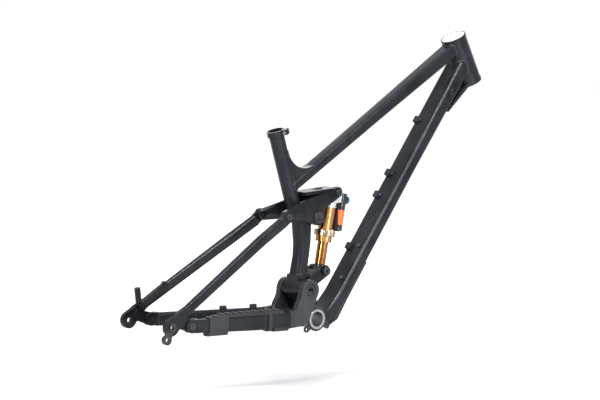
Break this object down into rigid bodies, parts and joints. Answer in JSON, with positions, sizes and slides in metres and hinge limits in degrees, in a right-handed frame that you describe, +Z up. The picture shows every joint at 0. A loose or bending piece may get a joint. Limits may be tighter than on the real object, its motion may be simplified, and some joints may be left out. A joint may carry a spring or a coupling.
{
  "type": "bicycle frame",
  "caption": "Full-suspension mountain bicycle frame with a rocker link, a four-bar rear end and a rear shock that compresses as the rear axle rises.",
  "frame": {"origin": "centre of the bottom bracket shell", "axes": "+X forward, +Y to the rider's left (non-drive side), +Z up with the suspension fully extended"},
  "size_m": [1.0301, 0.1723, 0.6832],
  "materials": {
    "frame_paint": "satin black powder coat with a blue-grey sheen",
    "forged_paint": "satin black",
    "yoke_paint": "satin grey, machined face",
    "bare_alloy": "machined",
    "steel": "zinc plated",
    "black_bolt": "black anodised",
    "rubber": "matte moulded rubber",
    "plastic": "matte moulded plastic",
    "gold": "gold anodised",
    "collar_gold": "bronze anodised",
    "orange": "plain orange film",
    "blue": "blue anodised"
  },
  "bodies": {
    "front_triangle": {"head_tube": "frame_paint", "top_tube": "frame_paint", "down_tube": "frame_paint", "seat_tube_upper": "frame_paint", "seat_tube_lower": "frame_paint", "seat_tube_gusset": "frame_paint", "head_tube_gusset": "frame_paint", "bottom_bracket_shell": "bare_alloy", "pivot_forging": "forged_paint", "rocker_pivot_housing": "forged_paint", "main_pivot_bearings": "steel", "rocker_pivot_bearings": "steel", "chain_guide_ring": "black_bolt", "down_tube_protector": "rubber", "accessory_bolts": "steel", "guide_bolts": "steel", "cable_guides": "plastic", "cable_port": "plastic", "seat_clamp": "forged_paint", "seat_clamp_bolt": "steel", "lower_shock_bolt": "black_bolt"},
    "chainstay": {"chainstay_yoke": "yoke_paint", "chainstay_right": "frame_paint", "chainstay_left": "frame_paint", "chainstay_ends": "forged_paint", "chainstay_protector": "rubber", "protector_straps": "plastic", "lower_chain_guard": "rubber", "hose_guides": "plastic", "main_pivot_axle": "steel", "main_pivot_nuts": "black_bolt", "rear_pivot_bolts": "black_bolt"},
    "seatstay": {"seatstay_right": "frame_paint", "seatstay_left": "frame_paint", "dropout_right": "forged_paint", "dropout_left": "forged_paint", "derailleur_hanger": "black_bolt", "hanger_bolt": "steel", "brake_mount": "forged_paint", "rear_pivot_bearings": "steel", "seatstay_end_plates": "forged_paint", "link_bolts": "black_bolt"},
    "rocker": {"rocker_link": "forged_paint", "rocker_pivot_axle": "steel", "rocker_pivot_caps": "black_bolt", "trunnion_bolts": "black_bolt"},
    "shock_damper": {"shock_head": "bare_alloy", "shock_body": "gold", "shock_reservoir": "black_bolt", "reservoir_band": "orange"},
    "collar": {"preload_collar": "collar_gold"},
    "knob": {"compression_knob": "blue"},
    "shock_shaft": {"shock_stanchion": "gold", "shock_eyelet": "black_bolt"}
  },
  "joints": [
    {"name": "main_pivot", "type": "hinge", "parent": "front_triangle", "child": "chainstay", "pos_m": [-0.0306, 0, 0.0716], "axis": [0, 1, 0], "range_deg": [0, 18]},
    {"name": "rear_pivot", "type": "hinge", "parent": "chainstay", "child": "seatstay", "pos_m": [-0.3936, 0, 0.0308], "axis": [0, 1, 0], "range_deg": [-10, 0]},
    {"name": "rocker_pivot", "type": "hinge", "parent": "front_triangle", "child": "rocker", "pos_m": [0.0073, 0, 0.2352], "axis": [0, 1, 0], "range_deg": [0, 43.5]},
    {"name": "shock_upper_pivot", "type": "hinge", "parent": "rocker", "child": "shock_damper", "pos_m": [0.0765, 0, 0.2883], "axis": [0, 1, 0], "range_deg": [-29.5, 0]},
    {"name": "shock_slide", "type": "slide", "parent": "shock_damper", "child": "shock_shaft", "axis": [0.2134, 0, 0.977], "range_m": [0, 0.0515]},
    {"name": "preload_collar_turn", "type": "hinge", "parent": "shock_damper", "child": "collar", "pos_m": [0.05557, 0, 0.19249], "axis": [0.2134, 0, 0.977], "continuous": true},
    {"name": "compression_knob_turn", "type": "hinge", "parent": "shock_damper", "child": "knob", "pos_m": [0.12334, 0, 0.26469], "axis": [0.977, 0, -0.2134], "range_deg": [0, 270]}
  ],
  "couplings": [
    {"joint": "rear_pivot", "follows": "main_pivot", "ratio": -0.545},
    {"joint": "rocker_pivot", "follows": "main_pivot", "ratio": 2.389},
    {"joint": "shock_upper_pivot", "follows": "main_pivot", "ratio": -1.62},
    {"joint": "shock_slide", "follows": "main_pivot", "m_per_rad": 0.1628}
  ]
}
